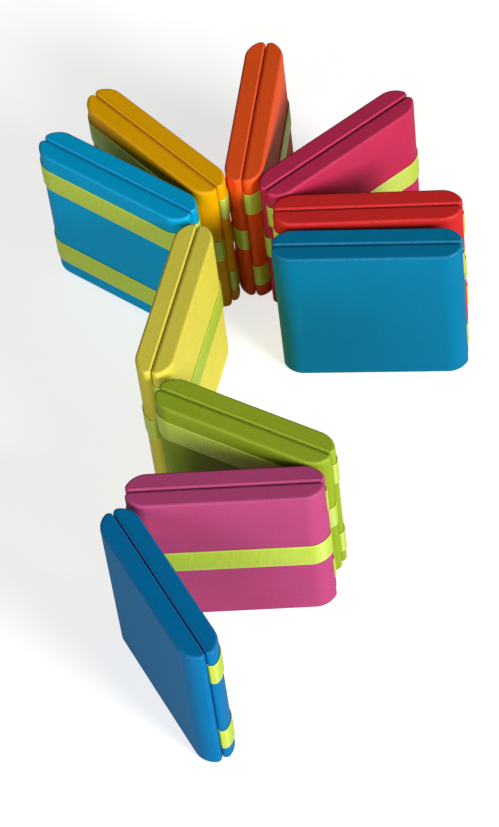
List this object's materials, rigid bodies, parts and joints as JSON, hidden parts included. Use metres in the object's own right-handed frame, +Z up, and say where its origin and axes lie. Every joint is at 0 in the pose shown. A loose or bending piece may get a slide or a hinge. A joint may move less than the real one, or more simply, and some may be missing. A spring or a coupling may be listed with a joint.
{
  "type": "jacobs ladder toy",
  "caption": "Jacob's ladder toy: painted wooden blocks of paired half-boards, chained by crossed satin ribbons that roll from block to block, standing on edge.",
  "frame": {"origin": "centre of the bounding box, on the surface the blocks stand on", "axes": "+Z up along the blocks' height, +Y along the chain's longest extent, away from the viewer of the picture, +X to the viewer's right"},
  "size_m": [0.1366, 0.2426, 0.0615],
  "materials": {
    "navy_lacquer": "gloss coloured lacquer on wood",
    "pink_lacquer": "gloss coloured lacquer on wood",
    "green_lacquer": "gloss coloured lacquer on wood",
    "lemon_lacquer": "gloss coloured lacquer on wood",
    "cyan_lacquer": "gloss coloured lacquer on wood",
    "gold_lacquer": "gloss coloured lacquer on wood",
    "orange_lacquer": "gloss coloured lacquer on wood",
    "crimson_lacquer": "gloss coloured lacquer on wood",
    "red_lacquer": "gloss coloured lacquer on wood",
    "teal_lacquer": "gloss coloured lacquer on wood",
    "lime_satin": "woven satin ribbon"
  },
  "bodies": {
    "navy_block": {"navy_inner_half": "navy_lacquer", "navy_outer_half": "navy_lacquer"},
    "pink_block": {"pink_front_half": "pink_lacquer", "pink_back_half": "pink_lacquer"},
    "green_block": {"green_front_half": "green_lacquer", "green_back_half": "green_lacquer"},
    "lemon_block": {"lemon_left_half": "lemon_lacquer", "lemon_right_half": "lemon_lacquer"},
    "cyan_block": {"cyan_front_half": "cyan_lacquer", "cyan_back_half": "cyan_lacquer"},
    "gold_block": {"gold_front_half": "gold_lacquer", "gold_back_half": "gold_lacquer"},
    "orange_block": {"orange_left_half": "orange_lacquer", "orange_right_half": "orange_lacquer"},
    "crimson_block": {"crimson_back_half": "crimson_lacquer", "crimson_front_half": "crimson_lacquer"},
    "red_block": {"red_back_half": "red_lacquer", "red_front_half": "red_lacquer"},
    "teal_block": {"teal_back_half": "teal_lacquer", "teal_front_half": "teal_lacquer"},
    "navy_pink_ribbons": {"navy_pink_top_ribbon": "lime_satin", "navy_pink_mid_ribbon": "lime_satin", "navy_pink_low_ribbon": "lime_satin"},
    "pink_green_ribbons": {"pink_green_top_ribbon": "lime_satin", "pink_green_mid_ribbon": "lime_satin", "pink_green_low_ribbon": "lime_satin"},
    "green_lemon_ribbons": {"green_lemon_top_ribbon": "lime_satin", "green_lemon_mid_ribbon": "lime_satin", "green_lemon_low_ribbon": "lime_satin"},
    "lemon_cyan_ribbons": {"lemon_cyan_top_ribbon": "lime_satin", "lemon_cyan_mid_ribbon": "lime_satin", "lemon_cyan_low_ribbon": "lime_satin"},
    "cyan_gold_ribbons": {"cyan_gold_top_ribbon": "lime_satin", "cyan_gold_mid_ribbon": "lime_satin", "cyan_gold_low_ribbon": "lime_satin"},
    "gold_orange_ribbons": {"gold_orange_top_ribbon": "lime_satin", "gold_orange_mid_ribbon": "lime_satin", "gold_orange_low_ribbon": "lime_satin"},
    "orange_crimson_ribbons": {"orange_crimson_top_ribbon": "lime_satin", "orange_crimson_mid_ribbon": "lime_satin", "orange_crimson_low_ribbon": "lime_satin"},
    "crimson_red_ribbons": {"crimson_red_top_ribbon": "lime_satin", "crimson_red_mid_ribbon": "lime_satin", "crimson_red_low_ribbon": "lime_satin"},
    "red_teal_ribbons": {"red_teal_top_ribbon": "lime_satin", "red_teal_mid_ribbon": "lime_satin", "red_teal_low_ribbon": "lime_satin"}
  },
  "joints": [
    {"name": "fold_navy_pink", "type": "hinge", "parent": "pink_block", "child": "navy_pink_ribbons", "pos_m": [-0.04497, -0.0566, 0.03075], "axis": [0, 0, -1], "range_deg": [-30.7, 59.3], "deforming": ["navy_pink_top_ribbon", "navy_pink_mid_ribbon", "navy_pink_low_ribbon"]},
    {"name": "roll_navy_pink", "type": "hinge", "parent": "navy_pink_ribbons", "child": "navy_block", "pos_m": [-0.05495, -0.07, 0.03075], "axis": [0, 0, -1], "range_deg": [-30.7, 59.3]},
    {"name": "fold_pink_green", "type": "hinge", "parent": "green_block", "child": "pink_green_ribbons", "pos_m": [0.00823, -0.04908, 0.03075], "axis": [0, 0, 1], "range_deg": [-14.1, 75.9], "deforming": ["pink_green_top_ribbon", "pink_green_mid_ribbon", "pink_green_low_ribbon"]},
    {"name": "roll_pink_green", "type": "hinge", "parent": "pink_green_ribbons", "child": "pink_block", "pos_m": [0.00291, -0.06364, 0.03075], "axis": [0, 0, 1], "range_deg": [-14.1, 75.9]},
    {"name": "fold_green_lemon", "type": "hinge", "parent": "lemon_block", "child": "green_lemon_ribbons", "pos_m": [-0.03844, -0.00634, 0.03075], "axis": [0, 0, -1], "range_deg": [-37.05, 37.95], "deforming": ["green_lemon_top_ribbon", "green_lemon_mid_ribbon", "green_lemon_low_ribbon"]},
    {"name": "roll_green_lemon", "type": "hinge", "parent": "green_lemon_ribbons", "child": "green_block", "pos_m": [-0.03289, -0.02356, 0.03075], "axis": [0, 0, -1], "range_deg": [-37.05, 37.95]},
    {"name": "fold_lemon_cyan", "type": "hinge", "parent": "lemon_block", "child": "lemon_cyan_ribbons", "pos_m": [-0.01996, 0.03839, 0.03075], "axis": [0, 0, -1], "range_deg": [-55.75, 24.25], "deforming": ["lemon_cyan_top_ribbon", "lemon_cyan_mid_ribbon", "lemon_cyan_low_ribbon"]},
    {"name": "roll_lemon_cyan", "type": "hinge", "parent": "lemon_cyan_ribbons", "child": "cyan_block", "pos_m": [-0.02422, 0.05526, 0.03075], "axis": [0, 0, -1], "range_deg": [-55.75, 24.25]},
    {"name": "fold_cyan_gold", "type": "hinge", "parent": "cyan_block", "child": "cyan_gold_ribbons", "pos_m": [-0.02555, 0.05377, 0.03075], "axis": [0, 0, 1], "range_deg": [-18.4, 5.6], "deforming": ["cyan_gold_top_ribbon", "cyan_gold_mid_ribbon", "cyan_gold_low_ribbon"]},
    {"name": "roll_cyan_gold", "type": "hinge", "parent": "cyan_gold_ribbons", "child": "gold_block", "pos_m": [-0.01359, 0.06484, 0.03075], "axis": [0, 0, 1], "range_deg": [-18.4, 5.6]},
    {"name": "fold_gold_orange", "type": "hinge", "parent": "gold_block", "child": "gold_orange_ribbons", "pos_m": [-0.01518, 0.06363, 0.03075], "axis": [0, 0, 1], "range_deg": [-14.3, 25.7], "deforming": ["gold_orange_top_ribbon", "gold_orange_mid_ribbon", "gold_orange_low_ribbon"]},
    {"name": "roll_gold_orange", "type": "hinge", "parent": "gold_orange_ribbons", "child": "orange_block", "pos_m": [0.00001, 0.06673, 0.03075], "axis": [0, 0, 1], "range_deg": [-14.3, 25.7]},
    {"name": "fold_orange_crimson", "type": "hinge", "parent": "orange_block", "child": "orange_crimson_ribbons", "pos_m": [-0.00193, 0.06722, 0.03075], "axis": [0, 0, -1], "range_deg": [-21.9, 15.6], "deforming": ["orange_crimson_top_ribbon", "orange_crimson_mid_ribbon", "orange_crimson_low_ribbon"]},
    {"name": "roll_orange_crimson", "type": "hinge", "parent": "orange_crimson_ribbons", "child": "crimson_block", "pos_m": [0.01059, 0.05809, 0.03075], "axis": [0, 0, -1], "range_deg": [-21.9, 15.6]},
    {"name": "fold_crimson_red", "type": "hinge", "parent": "crimson_block", "child": "crimson_red_ribbons", "pos_m": [0.00953, 0.05978, 0.03075], "axis": [0, 0, 1], "range_deg": [-25.2, 19.8], "deforming": ["crimson_red_top_ribbon", "crimson_red_mid_ribbon", "crimson_red_low_ribbon"]},
    {"name": "roll_crimson_red", "type": "hinge", "parent": "crimson_red_ribbons", "child": "red_block", "pos_m": [0.01281, 0.04464, 0.03075], "axis": [0, 0, 1], "range_deg": [-25.2, 19.8]},
    {"name": "fold_red_teal", "type": "hinge", "parent": "red_block", "child": "red_teal_ribbons", "pos_m": [0.01308, 0.04662, 0.03075], "axis": [0, 0, -1], "range_deg": [-0.65, 49.35], "deforming": ["red_teal_top_ribbon", "red_teal_mid_ribbon", "red_teal_low_ribbon"]},
    {"name": "roll_red_teal", "type": "hinge", "parent": "red_teal_ribbons", "child": "teal_block", "pos_m": [0.01066, 0.02989, 0.03075], "axis": [0, 0, -1], "range_deg": [-0.65, 49.35]}
  ],
  "couplings": [
    {"joint": "roll_navy_pink", "follows": "fold_navy_pink", "ratio": 1},
    {"joint": "roll_pink_green", "follows": "fold_pink_green", "ratio": 1},
    {"joint": "roll_green_lemon", "follows": "fold_green_lemon", "ratio": 1},
    {"joint": "roll_lemon_cyan", "follows": "fold_lemon_cyan", "ratio": 1},
    {"joint": "roll_cyan_gold", "follows": "fold_cyan_gold", "ratio": 1},
    {"joint": "roll_gold_orange", "follows": "fold_gold_orange", "ratio": 1},
    {"joint": "roll_orange_crimson", "follows": "fold_orange_crimson", "ratio": 1},
    {"joint": "roll_crimson_red", "follows": "fold_crimson_red", "ratio": 1},
    {"joint": "roll_red_teal", "follows": "fold_red_teal", "ratio": 1}
  ]
}
